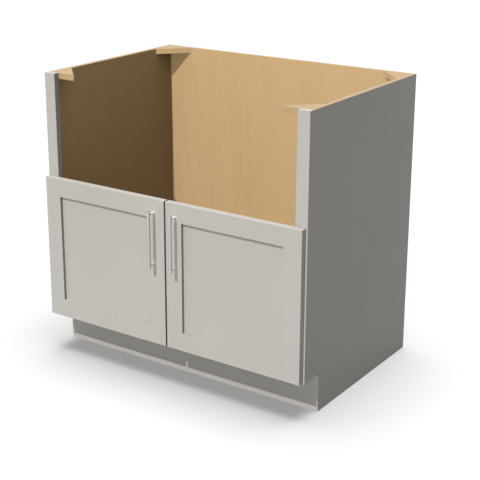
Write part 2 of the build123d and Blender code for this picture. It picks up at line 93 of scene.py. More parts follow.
# Near-white nickel of the pull posts, paler than the bar's: a painted highlight
POST_SMEAR_HIGHLIT = (0.840, 0.825, 0.795, 1)
NICKEL_SMEAR = (0.430, 0.418, 0.395, 1)
POST_NICKEL_HIGHLIT = (0.960, 0.950, 0.930, 1)
HINGE_STEEL = (0.620, 0.615, 0.600, 1)
HINGE_SMEAR = (0.520, 0.510, 0.490, 1)
SCREW_STEEL = (0.560, 0.555, 0.545, 1)
SCREW_SMEAR = (0.500, 0.490, 0.440, 1)
RUBBER = (0.560, 0.560, 0.540, 1)
RUBBER_SHADE = (0.476, 0.476, 0.459, 1)

# Depth of the relief of each finish
MAPLE_RELIEF = 0.03 * MM
PAINT_RELIEF = 0.02 * MM
BRUSHED_RELIEF = 0.02 * MM
PLATED_RELIEF = 0.01 * MM
RUBBER_RELIEF = 0.02 * MM
PLY_RELIEF = 0.06 * MM

# Paler line of the paint along an arris, partly worn paint and partly a painted highlight, and the layers
# of the plywood
PAINT_ARRIS = 1.2 * MM
SIDE_THICKNESS = 15.9 * MM
BACK_THICKNESS = 12.7 * MM
LAYERS_OF_PLY = 3.5


# Node tools


def feed(tree, socket, value):
    """Links an input to another node's output, or sets it to a value."""
    if isinstance(value, bpy.types.NodeSocket):
        tree.links.new(value, socket)
    else:
        socket.default_value = value


def node(tree, kind, **settings):
    """A node with its settings; what feeds its inputs is given in values, by name or number."""
    values = settings.pop("values", {})
    made = tree.nodes.new("ShaderNode" + kind)
    for key, value in settings.items():
        setattr(made, key, value)
    for key, value in values.items():
        feed(tree, made.inputs[key], value)
    return made


def sums(tree, operation, first, second=None, third=None):
    """One sum with up to three numbers or sockets."""
    values = {0: first}
    if second is not None:
        values[1] = second
    if third is not None:
        values[2] = third
    return node(tree, "Math", operation=operation, values=values).outputs[0]


def spread(tree, value, low, high, to_low=0.0, to_high=1.0):
    """A value carried from one range to another, and kept inside it."""
    made = node(tree, "MapRange", values={0: value, 1: low, 2: high, 3: to_low, 4: to_high})
    return made.outputs[0]


def stretched(tree, vector, across, through, along):
    """Coordinates stretched along the three axes."""
    made = node(tree, "Mapping", values={"Vector": vector, "Scale": (across, through, along)})
    return made.outputs[0]


def noise(tree, vector, scale, detail=2.0, roughness=0.5):
    """Soft noise between 0 and 1."""
    values = {"Vector": vector, "Scale": scale, "Detail": detail, "Roughness": roughness}
    return node(tree, "TexNoise", values=values).outputs[0]


def blend_colour(tree, factor, first, second):
    """Colour between two others."""
    made = node(tree, "Mix", data_type="RGBA")
    for socket, value in ((0, factor), (6, first), (7, second)):
        feed(tree, made.inputs[socket], value)
    return made.outputs[2]


def new_group(name, inputs, outputs):
    """An empty shader node group with named inputs and outputs."""
    tree = bpy.data.node_groups.new(name, "ShaderNodeTree")
    for label, kind, value in inputs:
        socket = tree.interface.new_socket(name=label, in_out="INPUT", socket_type="NodeSocket" + kind)
        if value is not None:
            socket.default_value = value
    for label, kind in outputs:
        tree.interface.new_socket(name=label, in_out="OUTPUT", socket_type="NodeSocket" + kind)
    return tree, tree.nodes.new("NodeGroupInput").outputs, tree.nodes.new("NodeGroupOutput").inputs


def place_group(tree, group, values):
    """A node group placed in a material with its own values."""
    made = tree.nodes.new("ShaderNodeGroup")
    made.node_tree = group
    for key, value in values.items():
        feed(tree, made.inputs[key], value)
    return made.outputs


# Effects that several finishes share


def make_arris_mask():
    """How near a point is to an edge of its board: 1 on the arris, 0 on the flat."""
    tree, given, put = new_group("Arris Mask", [("Width", "Float", 0.0015)], [("Mask", "Float")])
    rounded = node(tree, "Bevel", samples=6, values={"Radius": given["Width"]}).outputs[0]
    flat = node(tree, "NewGeometry").outputs["True Normal"]
    alike = node(tree, "VectorMath", operation="DOT_PRODUCT", values={0: rounded, 1: flat}).outputs[1]
    tree.links.new(spread(tree, alike, 0.995, 0.80), put["Mask"])
    return tree


def make_handling_marks():
    """Faint smears left by hands and cloths."""
    tree, given, put = new_group(
        "Handling Marks", [("Vector", "Vector", None), ("Size", "Float", 14.0)], [("Mask", "Float")]
    )
    clouds = noise(tree, given["Vector"], given["Size"], 4.0, 0.6)
    streaks = noise(tree, stretched(tree, given["Vector"], 90.0, 90.0, 12.0), 1.0, 3.0, 0.55)
    both = sums(tree, "MULTIPLY", spread(tree, clouds, 0.42, 0.68), spread(tree, streaks, 0.35, 0.75))
    tree.links.new(both, put["Mask"])
    return tree


def make_maple_figure():
    """Sliced maple: broad clouds of tone, arched growth lines, fine fibre and short flecks."""
    tree, given, put = new_group(
        "Maple Figure",
        [
            ("Vector", "Vector", None),
            ("Light Wood", "Color", MAPLE_LIGHT),
            ("Dark Wood", "Color", MAPLE_DARK),
            ("Figure", "Float", 1.0),
        ],
        [("Color", "Color"), ("Roughness", "Float"), ("Height", "Float")],
    )
    vector = given["Vector"]
    split = node(tree, "SeparateXYZ", values={0: vector}).outputs
    drift = noise(tree, stretched(tree, vector, 3.0, 3.0, 1.1), 1.0, 3.0)
    sideways = sums(tree, "MULTIPLY_ADD", drift, 0.22, split["X"])
    arched = node(tree, "CombineXYZ", values={0: sideways, 2: sums(tree, "MULTIPLY", split["Z"], 0.16)})
    rings = node(
        tree,
        "TexWave",
        wave_type="RINGS",
        rings_direction="SPHERICAL",
        values={
            "Vector": arched.outputs[0],
            "Scale": 9.0,
            "Distortion": 3.2,
            "Detail": 3.0,
            "Detail Scale": 2.6,
            "Detail Roughness": 0.62,
        },
    ).outputs["Fac"]
    late_wood = sums(tree, "POWER", rings, 3.0)
    clouds = noise(tree, stretched(tree, vector, 9.0, 9.0, 0.9), 1.0, 3.0, 0.55)
    fibre = noise(tree, stretched(tree, vector, 520.0, 520.0, 7.0), 1.0, 3.0, 0.6)
    flecks = spread(tree, noise(tree, stretched(tree, vector, 640.0, 640.0, 46.0), 1.0, 1.0), 0.70, 0.80)
    here_and_there = spread(tree, noise(tree, stretched(tree, vector, 5.0, 5.0, 1.6), 1.0, 2.0), 0.42, 0.66)
    figure = sums(tree, "MULTIPLY", sums(tree, "MULTIPLY", late_wood, here_and_there), 0.11)
    figure = sums(tree, "MULTIPLY_ADD", spread(tree, clouds, 0.25, 0.75), 0.30, figure)
    figure = sums(tree, "MULTIPLY_ADD", spread(tree, fibre, 0.25, 0.75), 0.24, figure)
    figure = sums(tree, "MULTIPLY_ADD", flecks, 0.30, figure)
    figure = sums(tree, "MULTIPLY", figure, given["Figure"])
    clamped = spread(tree, figure, 0.0, 1.0)
    tree.links.new(blend_colour(tree, clamped, given["Light Wood"], given["Dark Wood"]), put["Color"])
    tree.links.new(spread(tree, fibre, 0.3, 0.7, 0.40, 0.50), put["Roughness"])
    relief = sums(tree, "MULTIPLY_ADD", flecks, -0.6, fibre)
    tree.links.new(relief, put["Height"])
    return tree


def make_sprayed_paint(arris_mask, marks):
    """Sprayed paint: very even colour, a fine orange peel, and a paler line on the arrises that is partly
    worn paint and partly a painted highlight.
    """
    tree, given, put = new_group(
        "Sprayed Paint",
        [
            ("Vector", "Vector", None),
            ("Paint", "Color", PAINT),
            ("Shade", "Color", PAINT_SHADE),
            ("Edge", "Color", PAINT_EDGE_WEAR_AND_HIGHLIGHT),
            ("Arris Width", "Float", 0.0015),
            ("Wear And Highlight", "Float", 1.0),
        ],
        [("Color", "Color"), ("Roughness", "Float"), ("Height", "Float")],
    )
    vector = given["Vector"]
    passes = noise(tree, stretched(tree, vector, 5.0, 5.0, 2.0), 1.0, 3.0)
    body = blend_colour(tree, spread(tree, passes, 0.3, 0.7), given["Paint"], given["Shade"])
    arris = place_group(tree, arris_mask, {"Width": given["Arris Width"]})["Mask"]
    patches = spread(tree, noise(tree, vector, 60.0, 4.0), 0.35, 0.6, 0.4, 1.0)
    # Paler arrises: partly worn paint, partly a painted highlight along the edges
    worn_and_highlit = sums(tree, "MULTIPLY", sums(tree, "MULTIPLY", arris, given["Wear And Highlight"]), patches)
    tree.links.new(blend_colour(tree, worn_and_highlit, body, given["Edge"]), put["Color"])
    smears = place_group(tree, marks, {"Vector": vector, "Size": 9.0})["Mask"]
    tree.links.new(sums(tree, "MULTIPLY_ADD", smears, -0.05, 0.46), put["Roughness"])
    peel = noise(tree, vector, 850.0, 2.0)
    nibs = spread(tree, noise(tree, vector, 1500.0, 1.0), 0.74, 0.82)
    tree.links.new(sums(tree, "MULTIPLY_ADD", nibs, 0.5, peel), put["Height"])
    return tree


def make_brushed_lines():
    """Fine parallel lines left by a brushing belt, running along Z."""
    tree, given, put = new_group(
        "Brushed Lines", [("Vector", "Vector", None)], [("Lines", "Float"), ("Height", "Float")]
    )
    fine = noise(tree, stretched(tree, given["Vector"], 5200.0, 5200.0, 60.0), 1.0, 2.0)
    broad = noise(tree, stretched(tree, given["Vector"], 1400.0, 1400.0, 22.0), 1.0, 2.0)
    lines = sums(tree, "MULTIPLY_ADD", broad, 0.5, sums(tree, "MULTIPLY", fine, 0.5))
    tree.links.new(lines, put["Lines"])
    tree.links.new(lines, put["Height"])
    return tree


ARRIS_MASK = make_arris_mask()
HANDLING_MARKS = make_handling_marks()
MAPLE_FIGURE = make_maple_figure()
SPRAYED_PAINT = make_sprayed_paint(ARRIS_MASK, HANDLING_MARKS)
BRUSHED_LINES = make_brushed_lines()


# Finishes


def new_finish(name, **uniform):
    """A material with a Principled shader, its even values set on it, and Object coordinates."""
    made = bpy.data.materials.new(name)
    made.use_nodes = True
    tree = made.node_tree
    shader = tree.nodes["Principled BSDF"]
    for key, value in uniform.items():
        shader.inputs[key.replace("_", " ")].default_value = value
    place = tree.nodes.new("ShaderNodeTexCoord").outputs["Object"]
    return made, tree, shader, place


def turned(tree, place, turn=(0, 0, 0), shift=(0, 0, 0)):
    """Coordinates turned and shifted, so that the grain runs along its board."""
    turn = [math.radians(angle) for angle in turn]
    values = {"Vector": place, "Rotation": turn, "Location": shift}
    return node(tree, "Mapping", vector_type="POINT", values=values).outputs[0]


def raise_surface(tree, shader, height, depth):
    """Fine relief of the surface, depth in metres."""
    relief = node(tree, "Bump", values={"Height": height, "Strength": 1.0, "Distance": depth})
    tree.links.new(relief.outputs[0], shader.inputs["Normal"])


def colour_surface(tree, shader, colour, bounce_painted_shade):
    """The surface's colour, and a darker one that only diffuse bounce rays see: painted shade that darkens
    recesses and the cabinet's inside.
    """
    bounce_ray = node(tree, "LightPath").outputs["Is Diffuse Ray"]
    tree.links.new(blend_colour(tree, bounce_ray, colour, bounce_painted_shade), shader.inputs["Base Color"])


def maple_finish(name, turn=(0, 0, 0), shift=(0, 0, 0), light=MAPLE_LIGHT, dark=MAPLE_DARK, figure=1.0):
    """Clear-finished maple with its grain along Z before it is turned."""
    made, tree, shader, place = new_finish(name, Specular_IOR_Level=0.35)
    vector = turned(tree, place, turn, shift)
    values = {"Vector": vector, "Light Wood": light, "Dark Wood": dark, "Figure": figure}
    wood = place_group(tree, MAPLE_FIGURE, values)
    colour_surface(tree, shader, wood["Color"], MAPLE_BOUNCE_PAINTED_SHADE)
    tree.links.new(wood["Roughness"], shader.inputs["Roughness"])
    raise_surface(tree, shader, wood["Height"], MAPLE_RELIEF)
    return made


def paint_finish(name, wear_and_highlight):
    """Sprayed warm grey paint, with as much paler line on its arrises, partly wear and partly a painted
    highlight, as is asked for.
    """
    made, tree, shader, place = new_finish(name, Specular_IOR_Level=0.30)
    skin = place_group(tree, SPRAYED_PAINT, {"Vector": place, "Arris Width": PAINT_ARRIS, "Wear And Highlight": wear_and_highlight})
    colour_surface(tree, shader, skin["Color"], PAINT_BOUNCE_PAINTED_SHADE)
    tree.links.new(skin["Roughness"], shader.inputs["Roughness"])
    raise_surface(tree, shader, skin["Height"], PAINT_RELIEF)
    return made


def metal_finish(name, colour, smear, roughness, relief, turn=(0, 0, 0), metallic=1.0):
    """Plated or brushed metal with faint handling marks, between its lowest and highest roughness."""
    made, tree, shader, place = new_finish(name, Metallic=metallic)
    vector = turned(tree, place, turn)
    lines = place_group(tree, BRUSHED_LINES, {"Vector": vector})
    smears = place_group(tree, HANDLING_MARKS, {"Vector": vector, "Size": 70.0})["Mask"]
    tone = sums(tree, "MULTIPLY", smears, 0.5)
    tone = sums(tree, "MULTIPLY_ADD", spread(tree, lines["Lines"], 0.3, 0.7), 0.35, tone)
    tree.links.new(blend_colour(tree, tone, colour, smear), shader.inputs["Base Color"])
    rough = spread(tree, lines["Lines"], 0.3, 0.7, *roughness)
    tree.links.new(sums(tree, "MULTIPLY_ADD", smears, 0.08, rough), shader.inputs["Roughness"])
    raise_surface(tree, shader, lines["Height"], relief)
    return made


def rubber_finish(name):
    """Soft clear-grey bumper."""
    made, tree, shader, place = new_finish(name, Specular_IOR_Level=0.4)
    clouds = noise(tree, place, 300.0, 3.0)
    tree.links.new(blend_colour(tree, clouds, RUBBER, RUBBER_SHADE), shader.inputs["Base Color"])
    tree.links.new(spread(tree, clouds, 0.3, 0.7, 0.38, 0.52), shader.inputs["Roughness"])
    raise_surface(tree, shader, noise(tree, place, 1200.0), RUBBER_RELIEF)
    return made


def ply_finish(name, across, thickness):
    """Raw edge of plywood: thin veneers, one pale and one dark in turn, across X or Y."""
    made, tree, shader, place = new_finish(name, Specular_IOR_Level=0.15)
    depth = node(tree, "SeparateXYZ", values={0: place}).outputs[across]
    wavy = sums(tree, "MULTIPLY_ADD", noise(tree, place, 40.0, 2.0), 0.0006, depth)
    turns = sums(tree, "MULTIPLY", wavy, 2 * math.pi * LAYERS_OF_PLY / thickness)
    layer = spread(tree, sums(tree, "SINE", turns), -0.35, 0.35)
    fibre = noise(tree, place, 900.0, 3.0, 0.6)
    tone = sums(tree, "MULTIPLY_ADD", layer, 0.45, sums(tree, "MULTIPLY", fibre, 0.45))
    tree.links.new(blend_colour(tree, tone, RAW_PLY_LIGHT, RAW_PLY_DARK), shader.inputs["Base Color"])
    tree.links.new(spread(tree, fibre, 0.3, 0.7, 0.65, 0.85), shader.inputs["Roughness"])
    raise_surface(tree, shader, sums(tree, "MULTIPLY_ADD", layer, -0.5, fibre), PLY_RELIEF)
    return made


DOOR_PAINT = paint_finish("door_paint", wear_and_highlight=0.0)
FRAME_PAINT = paint_finish("frame_paint", wear_and_highlight=0.6)
SIDE_PAINT = paint_finish("side_paint", wear_and_highlight=0.8)
MAPLE_BACK = maple_finish("maple_back", shift=(0.31, 0.0, 0.12))
MAPLE_SIDE_LEFT = maple_finish("maple_side_left", turn=(0, 0, 90), shift=(0.65, 0.1, 0.33))
MAPLE_SIDE_RIGHT = maple_finish("maple_side_right", turn=(0, 0, 90), shift=(-0.27, 0.1, 0.71))
MAPLE_FLOOR = maple_finish("maple_floor", turn=(0, 90, 0), shift=(0.2, 0.4, 0.1))
# Block maple toned per face for the light: painted shade on tops and front faces, painted light on the back
# blocks' faces
BLOCK_TOPS_SHADED = maple_finish(
    "block_tops_shaded", turn=(0, 90, 0), shift=(0.7, 0.2, 0.5), light=BLOCK_TOP_SHADED_LIGHT, dark=BLOCK_TOP_SHADED_DARK
)
BACK_BLOCK_SIDES_LIT = maple_finish(
    "back_block_sides_lit", turn=(0, 90, 0), shift=(0.2, 0.9, 0.1), light=BACK_BLOCK_SIDE_LIT_LIGHT, dark=BACK_BLOCK_SIDE_LIT_DARK
)
FRONT_BLOCK_SIDES_SHADED = maple_finish(
    "front_block_sides_shaded", turn=(0, 90, 0), shift=(0.5, 0.3, 0.8), light=FRONT_BLOCK_SIDE_SHADED_LIGHT, dark=FRONT_BLOCK_SIDE_SHADED_DARK
)
# Top edge band, its maple darkened against the light from above: painted shade
TOP_BAND_SHADED = maple_finish(
    "top_band_shaded", turn=(90, 0, 0), light=BAND_SHADED_LIGHT, dark=BAND_SHADED_DARK, figure=0.7
)
RAW_BACK = maple_finish(
    "raw_back", shift=(1.3, 0.4, 0.6), light=RAW_BACK_LIGHT, dark=RAW_BACK_DARK, figure=1.3
)
PLY_OF_SIDE = ply_finish("ply_of_side", "X", SIDE_THICKNESS)
PLY_OF_BACK = ply_finish("ply_of_back", "Y", BACK_THICKNESS)
BRUSHED_NICKEL = metal_finish("brushed_nickel", NICKEL, NICKEL_SMEAR, (0.28, 0.38), BRUSHED_RELIEF)
# Pull posts: the bar's nickel painted near white and hardly metallic, a painted highlight
HIGHLIT_POST_NICKEL = metal_finish(
    "highlit_post_nickel",
    POST_NICKEL_HIGHLIT,
    POST_SMEAR_HIGHLIT,
    (0.26, 0.36),
    BRUSHED_RELIEF,
    turn=(90, 0, 0),
    metallic=0.15,
)
PLATED_STEEL = metal_finish("plated_steel", HINGE_STEEL, HINGE_SMEAR, (0.20, 0.30), PLATED_RELIEF)
ZINC_STEEL = metal_finish("zinc_steel", SCREW_STEEL, SCREW_SMEAR, (0.28, 0.40), PLATED_RELIEF)
BUMPER_RUBBER = rubber_finish("bumper_rubber")

NODES = frame["nodes"]
BODIES = frame["record"]["behaviour"]["bodies"]
BODY_OF = {name: body for body, members in BODIES.items() for name in members}


def dress(piece, *finishes):
    """Gives a CAD node or a piece its finishes."""
    piece.data.materials.clear()
    for finish in finishes:
        piece.data.materials.append(finish)


# Bench tools: choosing, shaping and copying


def take(piece):
    """Makes one piece the only one that is worked on."""
    if bpy.context.object and bpy.context.object.mode != "OBJECT":
        bpy.ops.object.mode_set(mode="OBJECT")
    bpy.ops.object.select_all(action="DESELECT")
    piece.select_set(True)
    bpy.context.view_layer.objects.active = piece


def choose(piece, kind, wanted):
    """Chooses the faces or edges of a piece for which wanted(the item, its points) is true."""
    take(piece)
    bpy.ops.object.mode_set(mode="EDIT")
    bpy.ops.mesh.select_mode(type=kind)
    bpy.ops.mesh.select_all(action="DESELECT")
    bpy.ops.object.mode_set(mode="OBJECT")
    mesh = piece.data
    for item in mesh.polygons if kind == "FACE" else mesh.edges:
        item.select = wanted(item, [mesh.vertices[i].co for i in item.vertices])
    bpy.ops.object.mode_set(mode="EDIT")


def apply_modifier(piece, kind, **settings):
    """Adds a modifier with its settings and applies it."""
    take(piece)
    added = piece.modifiers.new(kind.lower(), kind)
    for key, value in settings.items():
        setattr(added, key, value)
    bpy.ops.object.modifier_apply(modifier=added.name)


def fixed(name):
    """Names the piece that was just added and puts its place into its mesh."""
    piece = bpy.context.object
    piece.name = name
    bpy.ops.object.transform_apply(location=True, rotation=True, scale=True)
    return piece


def new_block(name, low, high):
    """A block between two corners, to be shaped."""
    bpy.ops.object.select_all(action="DESELECT")
    low, high = Vector(low), Vector(high)
    bpy.ops.mesh.primitive_cube_add(size=1, location=(low + high) / 2, scale=high - low)
    return fixed(name)


TURN_OF_AXIS = {"X": (0, math.pi / 2, 0), "Y": (math.pi / 2, 0, 0), "Z": (0, 0, 0)}


def new_round(name, start, end, radius, axis, sides=48):
    """A round bar along one axis between two places, to be shaped."""
    bpy.ops.object.select_all(action="DESELECT")
    start, end = Vector(start), Vector(end)
    bpy.ops.mesh.primitive_cylinder_add(
        vertices=sides,
        radius=radius,
        depth=(end - start).length,
        location=(start + end) / 2,
        rotation=TURN_OF_AXIS[axis],
    )
    return fixed(name)


def cut(piece, tool, operation="DIFFERENCE"):
    """Takes a tool's shape out of a piece, or adds it, and clears the tool away."""
    apply_modifier(piece, "BOOLEAN", object=tool, operation=operation, solver="EXACT")
    bpy.data.objects.remove(tool)


def ease(piece, width, segments=2, angle=50):
    """Eases the arrises that are sharper than an angle, with the flat faces shaded flat."""
    apply_modifier(
        piece,
        "BEVEL",
        width=width,
        segments=segments,
        limit_method="ANGLE",
        angle_limit=math.radians(angle),
        harden_normals=True,
    )


def shifted_copy(piece, name, offset):
    """A copy with its own mesh, moved."""
    take(piece)
    bpy.ops.object.duplicate(linked=False)
    bpy.ops.transform.translate(value=offset)
    return fixed(name)


def other_hand(piece, name):
    """The mirror image of a piece in the cabinet's middle plane, with its own mesh."""
    take(piece)
    bpy.ops.object.duplicate(linked=False)
    copy = bpy.context.object
    copy.scale.x = -1
    copy = fixed(name)
    bpy.ops.object.mode_set(mode="EDIT")
    bpy.ops.mesh.select_all(action="SELECT")
    bpy.ops.mesh.normals_make_consistent(inside=False)
    bpy.ops.object.mode_set(mode="OBJECT")
    return copy


def one_piece(name, parts):
    """Several solids kept as one piece."""
    take(parts[0])
    for part in parts:
        part.select_set(True)
    bpy.ops.object.join()
    parts[0].name = name
    return parts[0]


def settle(piece, node_name):
    """The piece stands for a CAD node and takes its body."""
    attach(piece, BODY_OF[node_name])
    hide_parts(node_name)


def smooth(piece, angle=35):
    """Shades the rounds of a piece smooth and leaves its arrises sharp."""
    take(piece)
    bpy.ops.object.shade_smooth_by_angle(angle=math.radians(angle))


def whole_copy(node_name, name):
    """A CAD node's shape with its faces whole, for a piece that keeps that shape."""
    piece = bpy.data.objects.new(name, NODES[node_name].data.copy())
    bpy.context.scene.collection.objects.link(piece)
    take(piece)
    bpy.ops.object.mode_set(mode="EDIT")
    bpy.ops.mesh.select_all(action="SELECT")
    bpy.ops.mesh.remove_doubles(threshold=0.00001)
    bpy.ops.mesh.dissolve_limited(angle_limit=math.radians(1))
    bpy.ops.object.mode_set(mode="OBJECT")
    return piece


# Places and sizes, from the frame

NEAR = 0.001 * MM

# Widths of the eased arrises
BAR_ARRIS = 0.5 * MM
PIN_ARRIS = 0.35 * MM
CUP_ARRIS = 0.2 * MM
LUG_ARRIS = 0.15 * MM
ARM_ARRIS = 0.25 * MM
BOARD_ARRIS = 0.4 * MM
BLOCK_ARRIS = 0.7 * MM

BAR_LOW, BAR_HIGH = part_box("pull_bar_right")
BAR_RADIUS = (BAR_HIGH.y - BAR_LOW.y) / 2
BAR_X = (BAR_HIGH.x + BAR_LOW.x) / 2
BAR_Y = (BAR_HIGH.y + BAR_LOW.y) / 2
POST_LOW, POST_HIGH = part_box("pull_posts_right")
POST_RADIUS = (POST_HIGH.x - POST_LOW.x) / 2
POST_NECK_RADIUS = POST_RADIUS - 0.3 * MM
POST_FLARE = 0.5 * MM
POST_FOOT = 0.7 * MM
BAR_RIM = 1.6 * MM
BAR_END_SINK = 0.3 * MM
POST_HEIGHTS = (POST_LOW.z + POST_RADIUS, POST_HIGH.z - POST_RADIUS)
PULL_SCREW_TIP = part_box("pull_screws_right")[0].y
DOOR_FACE = POST_HIGH.y
DOOR_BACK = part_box("door_hinge_stile_right")[1].y
STILE_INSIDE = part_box("frame_stile_right")[0].x
FRAME_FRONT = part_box("frame_stile_right")[0].y

PIN_RADIUS = 1.25 * MM
PIN_HALF = 4.7 * MM
CHEEK_GAP_HALF = 3.3 * MM
EYE_RADIUS = 2.4 * MM
ARM_PIN_LOW, ARM_PIN_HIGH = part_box("hinge_arm_pins_right")
CUP_PIN_LOW, CUP_PIN_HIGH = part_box("hinge_cup_pins_right")
HINGE_HEIGHTS = (ARM_PIN_LOW.z + PIN_HALF, ARM_PIN_HIGH.z - PIN_HALF)
ARM_PIN = ((ARM_PIN_LOW.x + ARM_PIN_HIGH.x) / 2, (ARM_PIN_LOW.y + ARM_PIN_HIGH.y) / 2)
CUP_PIN = ((CUP_PIN_LOW.x + CUP_PIN_HIGH.x) / 2, (CUP_PIN_LOW.y + CUP_PIN_HIGH.y) / 2)

CUP_LOW, CUP_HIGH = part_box("hinge_cups_right")
CUP_RADIUS = 17.5 * MM
CUP_RIM_RADIUS = 20.0 * MM
CUP_WALL = 1.0 * MM
CUP_BOTTOM_ROUND = 1.0 * MM
CUP_X = CUP_HIGH.x - CUP_RIM_RADIUS
CUP_SCREW_HEAD = 3.4 * MM
CUP_SCREW_REACH = 22.5 * MM
CUP_SCREW_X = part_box("hinge_cup_screws_right")[0].x + CUP_SCREW_HEAD
CUP_SCREW_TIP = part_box("hinge_cup_screws_right")[0].y
CUP_EAR_RADIUS = CUP_SCREW_HEAD + 2.5 * MM

ARM_SCREW_LOW, ARM_SCREW_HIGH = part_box("hinge_arm_screws_right")
ARM_SCREW_HEAD = 3.8 * MM
ARM_SCREW_REACH = 16.0 * MM
ARM_SCREW_Y = ARM_SCREW_LOW.y + ARM_SCREW_HEAD
ADJUSTER_X = STILE_INSIDE - 6.6 * MM
ADJUSTER_Y = FRAME_FRONT + 9.5 * MM
ADJUSTER_LENGTH = 7.0 * MM

PAD_LOW, PAD_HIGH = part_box("door_bumpers_right")
PAD_RADIUS = (PAD_HIGH.x - PAD_LOW.x) / 2
PAD_HEIGHTS = (PAD_LOW.z + PAD_RADIUS, PAD_HIGH.z - PAD_RADIUS)
PAD_CROWN = 0.9 * MM

HOLE_FROM_CORNER = 27.0 * MM
HOLE_RADIUS = 2.4 * MM
COUNTERSINK_RADIUS = 5.4 * MM
COUNTERSINK_TIP = 2.0 * MM
COUNTERSINK_DEPTH = 3.4 * MM

AXES = {"X": Vector((1, 0, 0)), "Y": Vector((0, 1, 0)), "Z": Vector((0, 0, 1))}


# Pulls


def make_pull_bar():
    """Bar with eased rims and a slightly sunk face at each end."""
    bar = new_round("bar", (BAR_X, BAR_Y, BAR_LOW.z), (BAR_X, BAR_Y, BAR_HIGH.z), BAR_RADIUS, "Z", 64)
    for way in (-1, 1):
        choose(bar, "FACE", lambda face, points: face.normal.z * way > 0.9)
        bpy.ops.mesh.inset(thickness=BAR_RIM)
        bpy.ops.transform.translate(value=(0, 0, -way * BAR_END_SINK))
        bpy.ops.object.mode_set(mode="OBJECT")
    ease(bar, BAR_ARRIS, 3)
    return bar


def make_pull_post(height):
    """Post from the door to the bar, coped round the bar, flared a little at its foot."""
    place, foot = Vector((BAR_X, BAR_Y, height)), Vector((BAR_X, DOOR_FACE, height))
    post = new_round("post", place, foot, POST_NECK_RADIUS, "Y", 40)
    choose(post, "FACE", lambda face, points: face.normal.y > 0.9)
    bpy.ops.transform.translate(value=(0, -POST_FLARE - POST_FOOT, 0))
    bpy.ops.mesh.extrude_region_move(TRANSFORM_OT_translate={"value": (0, POST_FLARE, 0)})
    wider = POST_RADIUS / POST_NECK_RADIUS
    bpy.ops.transform.resize(value=(wider, 1, wider))
    bpy.ops.mesh.extrude_region_move(TRANSFORM_OT_translate={"value": (0, POST_FOOT, 0)})
    bpy.ops.object.mode_set(mode="OBJECT")
    reach = Vector((0, 0, 20 * MM))
    cut(post, new_round("bar_shape", place - reach, place + reach, BAR_RADIUS, "Z", 64))
    smooth(post)
    return post


# Screws and pins

# Radius and height of the head, radius of the shank, roundness of the crown
PULL_SCREW = (4.0 * MM, 2.4 * MM, 2.0 * MM, 0.5 * MM)
CUP_SCREW = (CUP_SCREW_HEAD, 0.9 * MM, 1.7 * MM, 0.25 * MM)
ARM_SCREW = (ARM_SCREW_HEAD, 2.2 * MM, 1.9 * MM, 1.1 * MM)
ADJUSTING_SCREW = (2.9 * MM, 1.4 * MM, 1.6 * MM, 0.6 * MM)
SCREW_POINT = 2.5 * MM


def cut_cross(screw, face, axis, size, depth):
    """Cuts a cross recess into the middle of a screw's head."""
    along = AXES[axis]
    upright = AXES["Z"]
    level = along.cross(upright)
    for long_way, short_way in ((upright, level), (level, upright)):
        reach = along * depth + long_way * (size / 2) + short_way * (size / 9)
        reach = Vector([abs(part) for part in reach])
        cut(screw, new_block("blade", face - reach, face + reach))


def make_screw(face, axis, way, length, kind):
    """Screw of a kind, its head's face at one place and its tip the given way along the axis."""
    head_radius, head_height, shank_radius, crown = kind
    along = AXES[axis] * way
    face = Vector(face)
    shank = length - head_height - SCREW_POINT
    screw = new_round("screw", face, face + along * head_height, head_radius, axis, 32)
    choose(screw, "FACE", lambda side, points: side.normal.dot(along) > 0.9)
    bpy.ops.mesh.inset(thickness=head_radius - shank_radius)
    bpy.ops.mesh.extrude_region_move(TRANSFORM_OT_translate={"value": along * shank})
    bpy.ops.mesh.extrude_region_move(TRANSFORM_OT_translate={"value": along * SCREW_POINT})
    bpy.ops.transform.resize(value=(0.3, 0.3, 0.3))
    choose(screw, "EDGE", lambda edge, points: all(abs((p - face).dot(along)) < NEAR for p in points))
    bpy.ops.mesh.bevel(offset=crown, segments=4, affect="EDGES")
    bpy.ops.object.mode_set(mode="OBJECT")
    cut_cross(screw, face, axis, head_radius * 1.15, head_height * 0.6)
    smooth(screw)
    return screw


def make_pull_screw(height):
    """Machine screw of the pull, its head sunk flush in the door's back."""
    return make_screw((BAR_X, DOOR_BACK, height), "Y", -1, DOOR_BACK - PULL_SCREW_TIP, PULL_SCREW)


def make_cup_screws(height):
    """Both screws of one cup."""
    face = (CUP_SCREW_X, CUP_HIGH.y, height - CUP_SCREW_REACH)
    first = make_screw(face, "Y", -1, CUP_HIGH.y - CUP_SCREW_TIP, CUP_SCREW)
    second = shifted_copy(first, "copy", (0, 0, 2 * CUP_SCREW_REACH))
    return one_piece("cup_screws", [first, second])


def make_arm_screws(height):
    """Both screws of one arm."""
    face = (ARM_SCREW_LOW.x, ARM_SCREW_Y, height - ARM_SCREW_REACH)
    first = make_screw(face, "X", 1, ARM_SCREW_HIGH.x - ARM_SCREW_LOW.x, ARM_SCREW)
    second = shifted_copy(first, "copy", (0, 0, 2 * ARM_SCREW_REACH))
    return one_piece("arm_screws", [first, second])


def make_adjusting_screw(height):
    """Screw in the arm's neck that sets the door sideways."""
    return make_screw((ADJUSTER_X, ADJUSTER_Y, height), "X", 1, ADJUSTER_LENGTH, ADJUSTING_SCREW)


def make_pin(place, height):
    """Riveted pin with a rounded end above and below."""
    reach = Vector((0, 0, PIN_HALF))
    centre = Vector((*place, height))
    pin = new_round("pin", centre - reach, centre + reach, PIN_RADIUS, "Z", 32)
    ease(pin, PIN_ARRIS, 3, 60)
    return pin


def make_arm_pin(height):
    """Pin in the arm's cheeks."""
    return make_pin(ARM_PIN, height)


def make_cup_pin(height):
    """Pin in the cup's lugs."""
    return make_pin(CUP_PIN, height)


# Hinges


